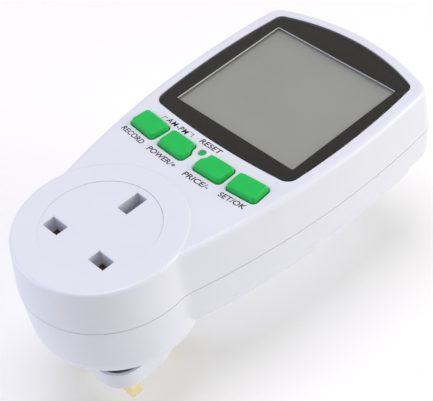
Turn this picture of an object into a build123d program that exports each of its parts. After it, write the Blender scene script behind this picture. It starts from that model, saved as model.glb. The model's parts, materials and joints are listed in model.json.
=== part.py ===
"""Plug-in power meter with a pass-through socket, a large LCD and rubber keys.

Millimetres. +Z points out of the front, +Y runs from the socket head to the
display end, +X is to the right. The origin is midway between the live and
neutral pins, on the face that rests against the wall outlet.
"""
import os
from math import degrees, radians, tan

from build123d import *

# ---- three-pin plug and socket, as the British Standard pattern sets them ----
PIN_PITCH = 22.23            # live pin to neutral pin
EARTH_OFFSET = 22.23         # earth pin from the live and neutral line
BLADE_X, BLADE_Y = 6.35, 4.0     # live and neutral blade section
EARTH_X, EARTH_Y = 4.0, 8.0      # earth blade section
BLADE_LENGTH = 17.1          # live and neutral, from the wall face
EARTH_LENGTH = 22.7
BLADE_CHAMFER = 1.4          # at the tips
SLEEVE_LENGTH = 9.5          # insulating sleeve, from the wall face
SLEEVE_WALL = 0.6
APERTURE_GAP = 0.3           # socket aperture beyond the blade, each side
APERTURE_BEVEL = 0.35

# ---- case ----
FACE_Z = 48.3                # socket face above the wall face
PANEL_DROP = 0.4             # display panel below the socket face
PARTING_Z = 31.7             # where the two halves meet
PARTING_GAP = 0.25           # shadow line between the halves
DRAFT = 4.0                  # degrees, both halves taper away from the parting
WALL = 2.2
TOP_WALL = 3.0
HEAD_Y = 9.0                 # centre of the round head
HEAD_R = 29.6                # at the parting
HEAD_EDGE = 1.2
HEAD_HOLLOW_R = 25.0         # under the raised socket face
HEAD_LEDGE = 0.6             # the head's wall is thicker below the body
HEAD_BACK_EDGE = 8.0
BODY_HALF = 38.4             # widest half width, at the parting
BODY_WIDE_Y = 88.0
BODY_TUCK = 2.45             # inside the head's width where the two meet
END_Y = 130.5
END_R = 88.0
END_CORNER_R = 7.0
TIER_CORNER_R = 3.5
BODY_LIMIT_Y = 140.0         # beyond the end
WAIST_R = 9.0
PANEL_EDGE = 2.0
LIP = 1.5                    # back cover lip inside the front cover
LIP_T = 0.9
LIP_GAP = 0.1

# back of the body: three shallow tiers, (z of the face, where it ends, inset, edge radius)
TIERS = ((17.3, BODY_LIMIT_Y, 0.0, 5.0), (15.1, 115.0, 1.0, 3.6), (12.8, 85.0, 2.0, 3.2))

# ---- plug base ----
BASE_T = 7.3
BASE_HALF = 22.2
BASE_FRONT = -11.4
BASE_CORNER_R = 9.0
BASE_TOP_Y = 33.0
BASE_TOP_HALF = 12.5
BASE_SHOULDER_Y = 8.0        # the block narrows from here
BASE_EDGE = 1.2
BASE_RIM = 1.1               # thin wall round the groove in the block
BASE_FLOOR = 2.2             # under the groove
SPIGOT_INSET = 4.0

# ---- socket insert ----
INSERT_R = 19.7
INSERT_GAP = 0.06
INSERT_SHIFT = 0.05          # it rests against one side of its hole
INSERT_DROP = 0.1
INSERT_FLANGE = 2.0
INSERT_FLANGE_T = 3.2

# ---- display ----
LENS_BORDER = 5.6            # panel left at each side of the window
LENS_WIDE_Y = 86.0
LENS_SIDE_R = 250.0
LENS_FRONT_Y = 58.3
LENS_FRONT_R = 268.0
LENS_END_Y = 125.3
LENS_END_R = 79.5
LENS_FRONT_CORNER = 4.2
LENS_END_CORNER = 3.6
LENS_T = 1.35
LENS_DROP = 0.08
LENS_GAP = 0.12
MASK_T = 0.15
WINDOW_X, WINDOW_Y, WINDOW_CORNER = 54.4, 49.0, 0.6
RIM_T = 0.5                  # thin rim of the case that frames the LCD
WINDOW_C = 90.5
LCD_X, LCD_Y, LCD_T = 60.4, 53.0, 2.8
LCD_RISE = 4.4               # front of the glass above its board
LCD_FRAME_WALL = 1.7
LCD_GAP = 0.15
LCD_HOLE_X, LCD_HOLE_Y, LCD_HOLE_CORNER = 58.0, 52.0, 2.0
LCD_LEDGE = 2.0              # the lower glass carries the contacts
FRAME_SHELF_X, FRAME_SHELF_Y = 4.0, 8.0     # the glass rests on this much of its frame
ZEBRA_INSET, ZEBRA_HALF = 3.0, 1.2
LENS_CHAMFER = 0.15
CONTROLLER = (-6.0, 6.0, 82.0, 94.0)
CONTROLLER_T = 1.4
CRYSTAL_X, CRYSTAL_Y, CRYSTAL_R, CRYSTAL_LENGTH = 14.0, 90.0, 1.5, 6.0

# ---- boards ----
BOARD_T = 1.6
KEY_ROOM = 4.6               # from the panel's inside to the display board
DISPLAY_BOARD_INSET = 3.7    # from the case outline at the parting
DISPLAY_BOARD_FROM, DISPLAY_BOARD_TO = 42.0, 124.0
POWER_BOARD_TOP = 21.6
POWER_BOARD_HALF = 28.0
POWER_BOARD_FROM, POWER_BOARD_TO = 42.0, 112.0
HEADER_Y = 109.0

# ---- keys ----
KEY_X, KEY_Y = 12.0, 7.8
KEY_SPACE = 2.5              # between keys, and from the middle to a key
KEY_NAMES = ("key_mode", "key_up", "key_down", "key_set")
KEY_ROW_Y = 49.3
KEY_ROW_R = 270.0            # the row bows with the window
KEY_PROUD = 1.7              # above the panel
KEY_DRAFT = 0.4              # each side, from the panel to the key's top
KEY_DEPTH = 6.3
KEY_CORNER = 1.3
KEY_CUT_CORNER = 0.8         # beside the cut round the reset key
KEY_EDGE = 0.7
KEY_GAP = 0.4
KEY_WELL = 0.35              # bevel round each key hole
KEY_TRAVEL = 1.1
RESET_Y = 52.3
RESET_R = 1.3
RESET_DROP = 0.7             # below the panel
RESET_BASE_R = 2.0
RESET_RELIEF_R = 3.8         # neighbouring keys are cut back by this radius
MAT_T = 1.2
MAT_EDGE = 2.0               # beyond the outer keys
MAT_FROM, MAT_TO = 43.6, 57.2
WEB_SPREAD, RESET_SPREAD = 0.8, 0.6
WEB_T = 0.4
PILL_T = 0.3
PILL_SPACE = 0.05            # left above the board when a key is down
PLUNGER_R, PILL_R = 2.4, 2.2
RESET_PLUNGER_R, RESET_PILL_R, RESET_BASE_T = 1.2, 1.1, 0.8

# ---- shutter and contacts ----
SHUTTER_T = 1.75
SHUTTER_TRAVEL = 4.8
SHUTTER_GAP = 0.08           # above and below the shutter
TONGUE_HALF = 2.0            # the shutter's tongue runs to the earth aperture
TONGUE_GAP = 0.1
CAM_DEPTH = 6.0              # the sloped end that an earth pin pushes
CAM_T = 1.6
SHUTTER_HALF = 16.0
SHUTTER_REACH = 2.6          # covers this far each side of the blade line
CARRIER_R = 20.0
CARRIER_FLOOR = 25.0
SKIRT_WALL = 1.6
CLIP_T = 0.8
CLIP_PINCH = 0.3             # a clip is this much tighter than its pin
CLIP_DROP = 1.8              # clip mouth below the carrier's top
CLIP_BOTTOM = 27.0
EARTH_CLIP_ROOM = 1.0        # below the tip of a full-length earth pin
POCKET_GAP = 0.6
TAIL_Z = 20.0                # foot of each clip's tail
STRAP_T, STRAP_W = 1.2, 5.0
DOOR_HALF = 14.0             # way out of the skirt for the wires
RIB_T, RIB_START = 1.6, 1.5  # guides beside the shutter's tongue
STOP_HALF, STOP_ROOT = 3.0, 2.0
LIVE_FOOT_X, NEUTRAL_FOOT_X, OUT_FOOT_X = 10.0, -12.0, 18.0
WIRE_FOOT_Y = 45.0
WIRE_BEND_R = 3.0
PIN_RISE = 3.0               # pins stand above the head's floor
SPRING_R, SPRING_WIRE_R, SPRING_TURNS = 0.65, 0.16, 6
SPRING_GAP = 0.04
SPRING_STOP_Y = -11.0
SPRING_STOP_T = 1.2
LEAD_R = 1.1

# ---- fasteners ----
SCREW_R, SCREW_HEAD_R, SCREW_HEAD_T = 1.4, 2.6, 1.9
SCREW_GAP = 0.03
SCREW_CLEARANCE = 0.25
WELL_GAP = 0.3               # round a sunk screw head
POST_GAP = 0.4               # board edge to a screw post
CASE_SCREW_PLACES = ((-26.0, 34.0), (26.0, 34.0), (-10.0, 122.0), (10.0, 122.0))
CASE_SCREW_SEAT = 25.5
CASE_SCREW_LENGTH = 14.0
BOSS_R = 3.1
BOARD_SCREW_R, BOARD_SCREW_HEAD_R, BOARD_SCREW_HEAD_T = 1.0, 2.0, 1.4
BOARD_SCREW_LENGTH = 5.0
BOARD_SCREW_HOLE = 4.0
DISPLAY_SCREW_PLACES = ((-27.0, 59.7), (27.0, 59.7), (-21.0, 121.3), (21.0, 121.3))
POWER_SCREW_PLACES = ((-24.0, 46.0), (24.0, 46.0), (-24.0, 108.0), (24.0, 108.0))

# ---- components on the power board ----
SHUNT_X, SHUNT_Y = 14.0, 49.5
SHUNT_HALF, SHUNT_HEIGHT, SHUNT_T, SHUNT_WIDTH = 4.0, 8.0, 0.9, 4.0
FILM_X, FILM_Y = -14.0, 56.0
FILM_WIDTH, FILM_DEPTH, FILM_HEIGHT, FILM_EDGE = 18.0, 8.5, 12.4, 0.6
CAN_X, CAN_Y, CAN_R, CAN_HEIGHT = 14.0, 60.0, 5.0, 12.5
VARISTOR_X, VARISTOR_Y = -17.0, 69.0
VARISTOR_R, VARISTOR_T, VARISTOR_STAND, VARISTOR_EDGE = 5.0, 4.0, 1.5, 1.2
DIODE_X, DIODE_Y, DIODE_COUNT, DIODE_PITCH = 4.0, 72.0, 4, 5.0
DIODE_LENGTH, DIODE_R = 5.0, 1.3
DROPPER_PLACES = ((-6.0, 72.0), (-19.0, 80.0))
DROPPER_LENGTH, DROPPER_R = 9.0, 1.8
AXIAL_STAND, AXIAL_REACH, AXIAL_WIRE_R = 0.5, 1.5, 0.35
RADIAL_WIRE_R = 0.4
CHIP_X, CHIP_Y, CHIP_HALF_X, CHIP_HALF_Y = 11.75, 84.25, 3.75, 5.25
CHIP_STAND, CHIP_T = 0.1, 1.8
CHIP_LEADS, CHIP_PITCH, CHIP_LEAD_REACH, CHIP_LEAD_T = 8, 1.27, 1.4, 0.8
CHIP_LEAD_HALF = 0.2
CELL_X, CELL_Y, CELL_R, CELL_T, CELL_COUNT = -14.0, 95.0, 6.2, 5.2, 3
CELL_GAP, WRAP_GAP, WRAP_T = 0.2, 0.1, 0.35
HEADER_PINS, HEADER_PITCH, HEADER_PIN_HALF = 8, 2.54, 0.32
HEADER_HALF_X, HEADER_HALF_Y, HEADER_T = 10.3, 1.25, 2.5

# worked out
BODY_BOW = BODY_HALF - HEAD_R + BODY_TUCK
BODY_SIDE_R = ((BODY_WIDE_Y - HEAD_Y) ** 2 + BODY_BOW ** 2) / (2 * BODY_BOW)
LENS_HALF = BODY_HALF - LENS_BORDER
PANEL_Z = FACE_Z - PANEL_DROP
CEILING_Z = PANEL_Z - TOP_WALL
HEAD_CEILING = FACE_Z - TOP_WALL
HEAD_FLOOR = BASE_T + WALL
LENS_TOP = PANEL_Z - LENS_DROP
LENS_SEAT = LENS_TOP - LENS_T - MASK_T
DISPLAY_BOARD_TOP = CEILING_Z - KEY_ROOM
MAT_TOP = DISPLAY_BOARD_TOP + MAT_T
LCD_TOP = DISPLAY_BOARD_TOP + LCD_RISE
KEY_TOP = PANEL_Z + KEY_PROUD
KEY_BASE = KEY_TOP - KEY_DEPTH
RESET_TOP = PANEL_Z - RESET_DROP
KEY_INNER = KEY_X / 2 + KEY_SPACE
KEY_OUTER = KEY_INNER + KEY_X + KEY_SPACE
KEY_PLACES = (-KEY_OUTER, -KEY_INNER, KEY_INNER, KEY_OUTER)
MAT_HALF = KEY_OUTER + KEY_X / 2 + MAT_EDGE
CLIP_GAP = BLADE_Y - CLIP_PINCH
PIN_TOP = HEAD_FLOOR + PIN_RISE
DISPLAY_BOARD_Z = DISPLAY_BOARD_TOP - BOARD_T
LCD_Z = LCD_TOP - LCD_T
PILL_Z = DISPLAY_BOARD_TOP + KEY_TRAVEL + PILL_SPACE
HALF_PITCH = PIN_PITCH / 2
INSERT_Y = HEAD_Y - INSERT_SHIFT
INSERT_Z = FACE_Z - INSERT_DROP
FLANGE_BOTTOM = HEAD_CEILING - INSERT_FLANGE_T
SHUTTER_TOP = FLANGE_BOTTOM - SHUTTER_GAP
SHUTTER_Z = SHUTTER_TOP - SHUTTER_T
CARRIER_TOP = SHUTTER_Z - SHUTTER_GAP
CLIP_TOP = CARRIER_TOP - CLIP_DROP
EARTH_CLIP_TOP = SHUTTER_TOP - CAM_DEPTH - CLIP_DROP
EARTH_CLIP_BOTTOM = FACE_Z - EARTH_LENGTH - EARTH_CLIP_ROOM
POWER_BOARD_Z = POWER_BOARD_TOP - BOARD_T

POST_ROOT = CEILING_Z + TOP_WALL / 3    # posts grow out of the panel's wall
NEAR = 0.01                  # for picking corners by their place
FAR = 200.0                  # beyond the case on every side

parts = {}


def keep(name, *solids):
    """Store one node as a group of its solids."""
    bodies = [piece for solid in solids for piece in solid.solids()]
    parts[name] = bodies[0] if len(bodies) == 1 else Compound(children=bodies)


def block(x0, x1, y0, y1, z0, z1):
    """A box between two corners."""
    size = (x1 - x0, y1 - y0, z1 - z0)
    return Pos((x0 + x1) / 2, (y0 + y1) / 2, (z0 + z1) / 2) * Box(*size)


def rod(x, y, z0, z1, radius):
    """An upright cylinder."""
    return Pos(x, y, (z0 + z1) / 2) * Cylinder(radius, z1 - z0)


def rise(face, z0, z1):
    """Raise a flat outline from z0 to z1."""
    return extrude(Pos(0, 0, z0) * face, amount=z1 - z0, dir=(0, 0, 1))


def taper(wide, z0, narrow, z1):
    """Straight-sided solid between an outline at z0 and its smaller copy at z1."""
    return loft([Pos(0, 0, z0) * wide.face(), Pos(0, 0, z1) * narrow.face()], ruled=True)


def draft(outline, z, inset=0.0):
    """Raise an outline from the parting to z, drawn in by the mould's draft."""
    pull = abs(z - PARTING_Z) * tan(radians(DRAFT))
    return taper(outline(inset), PARTING_Z, outline(inset + pull), z)


def bowed(half, wide_y, side_r, front, end_y, end_r):
    """A flat outline between two bowed sides, a front and a bowed end."""
    left = Pos(side_r - half, wide_y) * Circle(side_r)
    right = Pos(half - side_r, wide_y) * Circle(side_r)
    end = Pos(0, end_y - end_r) * Circle(end_r)
    return left & right & end & front


def soften(face, radius, chooser):
    """Round the chosen corners of a flat outline; an inset past the radius leaves them sharp."""
    corners = [v for v in face.vertices() if chooser(v)]
    if radius <= 0 or not corners:
        return face
    return fillet(corners, radius)


# ---------------------------------------------------------------- case
def body_outline(inset=0.0, limit_y=BODY_LIMIT_Y):
    """The body at the parting, as far as limit_y."""
    depth = limit_y - inset - HEAD_Y
    front = Pos(0, HEAD_Y + depth / 2) * Rectangle(4 * BODY_HALF, depth)
    face = bowed(BODY_HALF - inset, BODY_WIDE_Y, BODY_SIDE_R - inset, front, END_Y - inset, END_R - inset)
    radius = END_CORNER_R if limit_y > END_Y else TIER_CORNER_R
    return soften(face, radius - inset, lambda v: v.Y > BODY_WIDE_Y - 10)


def head_outline(inset=0.0):
    """The head at the parting."""
    return Pos(0, HEAD_Y) * Circle(HEAD_R - inset)


def case_outline(inset=0.0):
    """Head and body at the parting, blended at the waist."""
    whole = head_outline(inset) + body_outline(inset)
    inner = [v for v in whole.vertices() if HEAD_Y < v.Y < HEAD_Y + HEAD_R]
    return fillet(inner, WAIST_R + inset)


def flat_edges(solid, z, reach=0.05):
    """Edges that lie in one level."""
    return [e for e in solid.edges() if abs(e.center().Z - z) < reach and e.bounding_box().size.Z < reach]


def outer_front():
    """Outside of the front cover: a panel with a slightly raised round head."""
    panel = draft(case_outline, PANEL_Z)
    panel = fillet(flat_edges(panel, PANEL_Z), PANEL_EDGE)
    head = draft(head_outline, FACE_Z)
    head = fillet(flat_edges(head, FACE_Z), HEAD_EDGE)
    return panel + head


def inner_front():
    """Hollow of the front cover."""
    return draft(case_outline, CEILING_Z, WALL) + rod(0, HEAD_Y, CEILING_Z - 1, HEAD_CEILING, HEAD_HOLLOW_R)


def rounded_rect(x, y, width, depth, radius):
    """A rounded rectangle centred on x, y."""
    return Pos(x, y) * RectangleRounded(width, depth, radius)


def lens_outline(extra=0.0):
    """The bowed window shape."""
    front = Pos(0, LENS_FRONT_Y + LENS_FRONT_R) * Circle(LENS_FRONT_R + extra)
    face = bowed(LENS_HALF + extra, LENS_WIDE_Y, LENS_SIDE_R + extra, front, LENS_END_Y + extra,
                 LENS_END_R + extra)
    face = soften(face, LENS_FRONT_CORNER + extra, lambda v: v.Y < LENS_WIDE_Y)
    return soften(face, LENS_END_CORNER + extra, lambda v: v.Y > (LENS_WIDE_Y + LENS_END_Y) / 2)


def key_place(x):
    """Centre and turn of a key on the bowed row."""
    turn = degrees(x / KEY_ROW_R)
    return Pos(x, KEY_ROW_Y + x * x / (2 * KEY_ROW_R)) * Rot(0, 0, turn)


def key_outline(x, extra=0.0, round_off=0.0):
    """A key seen from the front; the middle two are cut back round the reset key."""
    place = key_place(x)
    half_x, half_y = KEY_X / 2 + extra, KEY_Y / 2 + extra
    relief = RESET_RELIEF_R - extra
    reset = place.inverse() * Pos(0, RESET_Y)
    face = Rectangle(2 * half_x, 2 * half_y)
    if abs(x) < KEY_OUTER:
        face = face - reset * Circle(relief)
    middle = reset.position
    more = extra + round_off
    face = soften(face, KEY_CORNER + more, lambda v: abs(v.X) > half_x - NEAR and abs(v.Y) > half_y - NEAR)
    face = soften(face, KEY_CUT_CORNER + more, lambda v: abs((Vector(v) - middle).length - relief) < NEAR)
    return place * face


def reset_outline(extra=0.0):
    """The reset key seen from the front."""
    return Pos(0, RESET_Y) * Circle(RESET_R + extra)


def front_cover():
    """Front half of the case."""
    shell = outer_front() - inner_front()
    for x, y in CASE_SCREW_PLACES:
        shell += rod(x, y, PARTING_Z + LIP + LIP_GAP, POST_ROOT, BOSS_R)
    for x, y in DISPLAY_SCREW_PLACES:
        shell += rod(x, y, DISPLAY_BOARD_TOP, POST_ROOT, BOARD_SCREW_HEAD_R)
    shell -= rise(case_outline(WALL - LIP_T - LIP_GAP), PARTING_Z, PARTING_Z + LIP + LIP_GAP)
    shell -= rod(0, INSERT_Y + INSERT_SHIFT, HEAD_CEILING - 1, FACE_Z + 1, INSERT_R + INSERT_GAP)
    shell -= rise(lens_outline(LENS_GAP), LENS_SEAT, PANEL_Z + 1)
    lcd_hole = rounded_rect(0, WINDOW_C, LCD_HOLE_X, LCD_HOLE_Y, LCD_HOLE_CORNER)
    shell -= rise(lcd_hole, CEILING_Z - 1, LENS_SEAT - RIM_T)
    shell -= rise(rounded_rect(0, WINDOW_C, WINDOW_X, WINDOW_Y, WINDOW_CORNER), CEILING_Z - 1, PANEL_Z)
    for x in KEY_PLACES:
        shell -= rise(key_outline(x, KEY_GAP), CEILING_Z - 1, PANEL_Z + 1)
        shell -= taper(key_outline(x, KEY_GAP + KEY_WELL), PANEL_Z, key_outline(x, KEY_GAP),
                       PANEL_Z - KEY_WELL)
    shell -= rise(reset_outline(KEY_GAP / 2), CEILING_Z - 1, PANEL_Z + 1)
    for x, y in CASE_SCREW_PLACES:
        shell -= rod(x, y, PARTING_Z, CASE_SCREW_SEAT + CASE_SCREW_LENGTH + 1, SCREW_R + SCREW_GAP)
    for x, y in DISPLAY_SCREW_PLACES:
        shell -= rod(x, y, DISPLAY_BOARD_TOP - 1, DISPLAY_BOARD_TOP + BOARD_SCREW_HOLE,
                     BOARD_SCREW_R + SCREW_GAP)
    return shell - block(-FAR, FAR, -FAR, FAR, PARTING_Z - 1, PARTING_Z + PARTING_GAP / 2)


def tier_solid(level):
    """Outside of one tier of the body's back."""
    z, limit, tuck, edge = level
    solid = draft(lambda inset: body_outline(inset, limit), z, tuck)
    return fillet(flat_edges(solid, z), edge)


def tier_hollow(level):
    """Hollow of one tier, with square inner edges."""
    z, limit, tuck, _ = level
    return draft(lambda inset: body_outline(inset, limit), z + WALL, tuck + WALL)


def head_back(inset=0.0, lift=0.0):
    """Back of the head, or its hollow when inset by the wall."""
    solid = draft(head_outline, BASE_T + lift, inset)
    return fillet(flat_edges(solid, BASE_T + lift), HEAD_BACK_EDGE - inset)


def waist_back():
    """Blend of head and body below the parting, down to the first tier."""
    z, _, _, edge = TIERS[0]
    return fillet(flat_edges(draft(case_outline, z), z), edge)


def back_cover():
    """Back half of the case, deeper under the head."""
    outer = head_back() + waist_back()
    inner = head_back(WALL + HEAD_LEDGE, WALL) + draft(case_outline, TIERS[0][0] + WALL, WALL)
    for level in TIERS[1:]:
        outer += tier_solid(level)
        inner += tier_hollow(level)
    shell = outer - inner
    lip = rise(case_outline(WALL - LIP_T), PARTING_Z, PARTING_Z + LIP)
    lip -= rise(case_outline(WALL), PARTING_Z - 1, PARTING_Z + LIP + 1)
    shell += lip
    for x, y in CASE_SCREW_PLACES:
        post = rod(x, y, WALL, PARTING_Z, BOSS_R + WALL / 2)
        shell += post & outer
    for x, y in POWER_SCREW_PLACES:
        shell += rod(x, y, WALL, POWER_BOARD_Z, BOSS_R) & outer
    for x, y in CASE_SCREW_PLACES:
        shell -= rod(x, y, 0, CASE_SCREW_SEAT, SCREW_HEAD_R + WELL_GAP)
        shell -= rod(x, y, 0, PARTING_Z + 1, SCREW_R + SCREW_CLEARANCE)
    for x, y in POWER_SCREW_PLACES:
        shell -= rod(x, y, POWER_BOARD_Z - BOARD_SCREW_HOLE, POWER_BOARD_Z + 1, BOARD_SCREW_R + SCREW_GAP)
    shell -= rise(base_outline(SPIGOT_INSET - LIP_GAP), BASE_T - 1, HEAD_FLOOR + 1)
    rim = rise(case_outline(-WALL), PARTING_Z - PARTING_GAP / 2, PARTING_Z)
    rim -= rise(case_outline(WALL - LIP_T), PARTING_Z - 1, PARTING_Z + 1)
    return shell - rim


# ---------------------------------------------------------------- plug
def base_outline(inset=0.0):
    """The plug block: square at the blades, narrower at the earth pin."""
    points = [(-BASE_HALF, BASE_FRONT), (BASE_HALF, BASE_FRONT), (BASE_HALF, BASE_SHOULDER_Y),
              (BASE_TOP_HALF, BASE_TOP_Y), (-BASE_TOP_HALF, BASE_TOP_Y), (-BASE_HALF, BASE_SHOULDER_Y)]
    face = make_face(Polyline(*points, close=True))
    if inset != 0:
        face = offset(face, amount=-inset, kind=Kind.INTERSECTION)
    return fillet(face.vertices(), BASE_CORNER_R - inset)


def blade_places():
    """Name and centre of the live and neutral blades."""
    return (("live", HALF_PITCH), ("neutral", -HALF_PITCH))


def plug_base():
    """The moulded block that carries the pins."""
    plate = rise(base_outline(), 0, BASE_T)
    plate = fillet(flat_edges(plate, 0), BASE_EDGE)
    plate -= rise(base_outline(BASE_RIM), BASE_FLOOR, BASE_T + 1)
    plate += rise(base_outline(SPIGOT_INSET), BASE_FLOOR, HEAD_FLOOR)
    for _, x in blade_places():
        plate -= block(x - BLADE_X / 2, x + BLADE_X / 2, -BLADE_Y / 2, BLADE_Y / 2, -1, HEAD_FLOOR + 1)
    plate -= block(-EARTH_X / 2, EARTH_X / 2, EARTH_OFFSET - EARTH_Y / 2, EARTH_OFFSET + EARTH_Y / 2,
                   -1, HEAD_FLOOR + 1)
    return plate


def blade(x, y, width, depth, length, sleeved):
    """A pin with a chamfered tip, necked where its sleeve sits."""
    pin = block(x - width / 2, x + width / 2, y - depth / 2, y + depth / 2, -length, PIN_TOP)
    tip = [e for e in pin.edges() if e.center().Z < -length + NEAR]
    pin = chamfer(tip, BLADE_CHAMFER)
    if sleeved:
        pin -= sleeve(x, y, width, depth)
    return pin


def sleeve(x, y, width, depth):
    """Insulating sleeve, flush with the blade's faces."""
    outer = block(x - width / 2, x + width / 2, y - depth / 2, y + depth / 2, -SLEEVE_LENGTH, 0)
    core = block(x - width / 2 + SLEEVE_WALL, x + width / 2 - SLEEVE_WALL,
                 y - depth / 2 + SLEEVE_WALL, y + depth / 2 - SLEEVE_WALL, -SLEEVE_LENGTH, 0)
    return outer - core


# ---------------------------------------------------------------- socket
def aperture(x, y, width, depth):
    """One aperture with a bevelled mouth, as a cutter."""
    def mouth(extra):
        return Pos(x, y) * Rectangle(width + 2 * extra, depth + 2 * extra)
    hole = rise(mouth(APERTURE_GAP), FLANGE_BOTTOM - 1, FACE_Z + 1)
    return hole + taper(mouth(APERTURE_GAP + APERTURE_BEVEL), INSERT_Z, mouth(APERTURE_GAP),
                        INSERT_Z - APERTURE_BEVEL)


def socket_faceplate():
    """Round insert with the three apertures and a flange behind the head."""
    plate = rod(0, INSERT_Y, HEAD_CEILING, INSERT_Z, INSERT_R)
    plate += rod(0, INSERT_Y, FLANGE_BOTTOM, HEAD_CEILING, INSERT_R + INSERT_FLANGE)
    for _, x in blade_places():
        plate -= aperture(x, 0, BLADE_X, BLADE_Y)
    return plate - aperture(0, EARTH_OFFSET, EARTH_X, EARTH_Y)


def shutter():
    """Plate that covers both blade apertures, with a sloped cam under the earth aperture."""
    plate = block(-SHUTTER_HALF, SHUTTER_HALF, -SHUTTER_REACH, SHUTTER_REACH, SHUTTER_Z, SHUTTER_TOP)
    cam_end = EARTH_OFFSET - EARTH_Y / 2 + SHUTTER_TRAVEL
    cam_start = cam_end - SHUTTER_TRAVEL
    profile = [(0, SHUTTER_TOP), (cam_start, SHUTTER_TOP), (cam_end, SHUTTER_TOP - CAM_DEPTH),
               (cam_end - CAM_T, SHUTTER_TOP - CAM_DEPTH), (cam_start - CAM_T / 2, SHUTTER_Z), (0, SHUTTER_Z)]
    face = Plane.YZ * make_face(Polyline(*profile, close=True))
    return plate + extrude(face, amount=TONGUE_HALF, both=True)


def shutter_spring():
    """Compression spring between the shutter and its stop."""
    length = -SHUTTER_REACH - SPRING_STOP_Y - 2 * SPRING_WIRE_R - SPRING_GAP
    path = Helix(pitch=length / SPRING_TURNS, height=length, radius=SPRING_R)
    section = Plane(origin=path @ 0, z_dir=path % 0) * Circle(SPRING_WIRE_R)
    spring = sweep(section, path=path, is_frenet=True)
    middle = (SHUTTER_Z + SHUTTER_TOP) / 2
    return Pos(0, -SHUTTER_REACH - SPRING_WIRE_R - SPRING_GAP / 2, middle) * Rot(90, 0, 0) * spring


def clip(x, y, width, gap, z0, z1, tail):
    """A U of spring strip, open at the top, with a tail below for its lead."""
    pieces = block(x - width / 2, x + width / 2, y - gap / 2 - CLIP_T, y - gap / 2, z0, z1)
    pieces += block(x - width / 2, x + width / 2, y + gap / 2, y + gap / 2 + CLIP_T, z0, z1)
    pieces += block(x - width / 2, x + width / 2, y - gap / 2 - CLIP_T, y + gap / 2 + CLIP_T, z0 - CLIP_T, z0)
    return pieces + block(x - width / 4, x + width / 4, y - CLIP_T / 2, y + CLIP_T / 2, tail, z0)


def earth_clip(z0, z1, tail):
    """The earth clip grips the earth blade's broad sides."""
    y = EARTH_OFFSET
    width, gap = EARTH_Y, CLIP_GAP
    pieces = block(-gap / 2 - CLIP_T, -gap / 2, y - width / 2, y + width / 2, z0, z1)
    pieces += block(gap / 2, gap / 2 + CLIP_T, y - width / 2, y + width / 2, z0, z1)
    pieces += block(-gap / 2 - CLIP_T, gap / 2 + CLIP_T, y - width / 2, y + width / 2, z0 - CLIP_T, z0)
    return pieces + block(-CLIP_T / 2, CLIP_T / 2, y - width / 4, y + width / 4, tail, z0)


def pocket(x, y, width, depth):
    """Room for a clip in the carrier."""
    w, d = width / 2 + POCKET_GAP, depth / 2 + POCKET_GAP
    return block(x - w, x + w, y - d, y + d, CARRIER_FLOOR - 1, CARRIER_TOP + 1)


def contact_carrier():
    """Moulded block on a skirt, with a pocket for each clip and guides for the shutter."""
    solid = rod(0, HEAD_Y, CARRIER_FLOOR, FLANGE_BOTTOM, CARRIER_R)
    inside = SHUTTER_HALF + TONGUE_GAP
    solid -= block(-inside, inside, HEAD_Y - CARRIER_R, HEAD_Y + CARRIER_R, CARRIER_TOP, FLANGE_BOTTOM)
    skirt = rod(0, HEAD_Y, HEAD_FLOOR, CARRIER_FLOOR, CARRIER_R)
    skirt -= rod(0, HEAD_Y, HEAD_FLOOR - 1, CARRIER_FLOOR + 1, CARRIER_R - SKIRT_WALL)
    skirt -= block(-DOOR_HALF, DOOR_HALF, HEAD_Y, HEAD_Y + CARRIER_R + 1, HEAD_FLOOR - 1,
                   CARRIER_FLOOR)
    solid += skirt
    rib_in, rib_out = TONGUE_HALF + TONGUE_GAP, TONGUE_HALF + TONGUE_GAP + RIB_T
    rib_to = EARTH_OFFSET - EARTH_Y / 2 - POCKET_GAP
    for x0, x1 in ((-rib_out, -rib_in), (rib_in, rib_out)):
        solid += block(x0, x1, SHUTTER_REACH + RIB_START, rib_to, CARRIER_TOP, FLANGE_BOTTOM)
    slot_from = EARTH_OFFSET - EARTH_Y / 2 - SHUTTER_TRAVEL - CAM_T / 2 - POCKET_GAP
    slot_floor = SHUTTER_TOP - CAM_DEPTH - POCKET_GAP
    solid -= block(-rib_in, rib_in, slot_from, rib_to, slot_floor, CARRIER_TOP)
    clip_depth = CLIP_GAP + 2 * CLIP_T
    for _, x in blade_places():
        solid -= pocket(x, 0, BLADE_X, clip_depth)
    solid -= pocket(0, EARTH_OFFSET, clip_depth, EARTH_Y)
    back = SPRING_STOP_Y - SPRING_STOP_T
    solid += block(-STOP_HALF, STOP_HALF, back, SPRING_STOP_Y + STOP_ROOT, CARRIER_FLOOR, CARRIER_TOP)
    return solid + block(-STOP_HALF, STOP_HALF, back, SPRING_STOP_Y, CARRIER_TOP, SHUTTER_TOP)


def lead(*points):
    """An insulated wire along straight runs with rounded corners."""
    path = FilletPolyline(*points, radius=WIRE_BEND_R)
    section = Plane(origin=path @ 0, z_dir=path % 0) * Circle(LEAD_R)
    return sweep(section, path=path)


# ---------------------------------------------------------------- display
def window_ring(outline, z0, z1):
    """A plate with the viewing window cut out."""
    window = rounded_rect(0, WINDOW_C, WINDOW_X, WINDOW_Y, WINDOW_CORNER)
    return rise(outline, z0, z1) - rise(window, z0 - 1, z1 + 1)


def display_lens():
    """Clear window, flush with the panel."""
    lens = rise(lens_outline(), LENS_SEAT + MASK_T, LENS_TOP)
    return chamfer(flat_edges(lens, LENS_TOP), LENS_CHAMFER)


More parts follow.
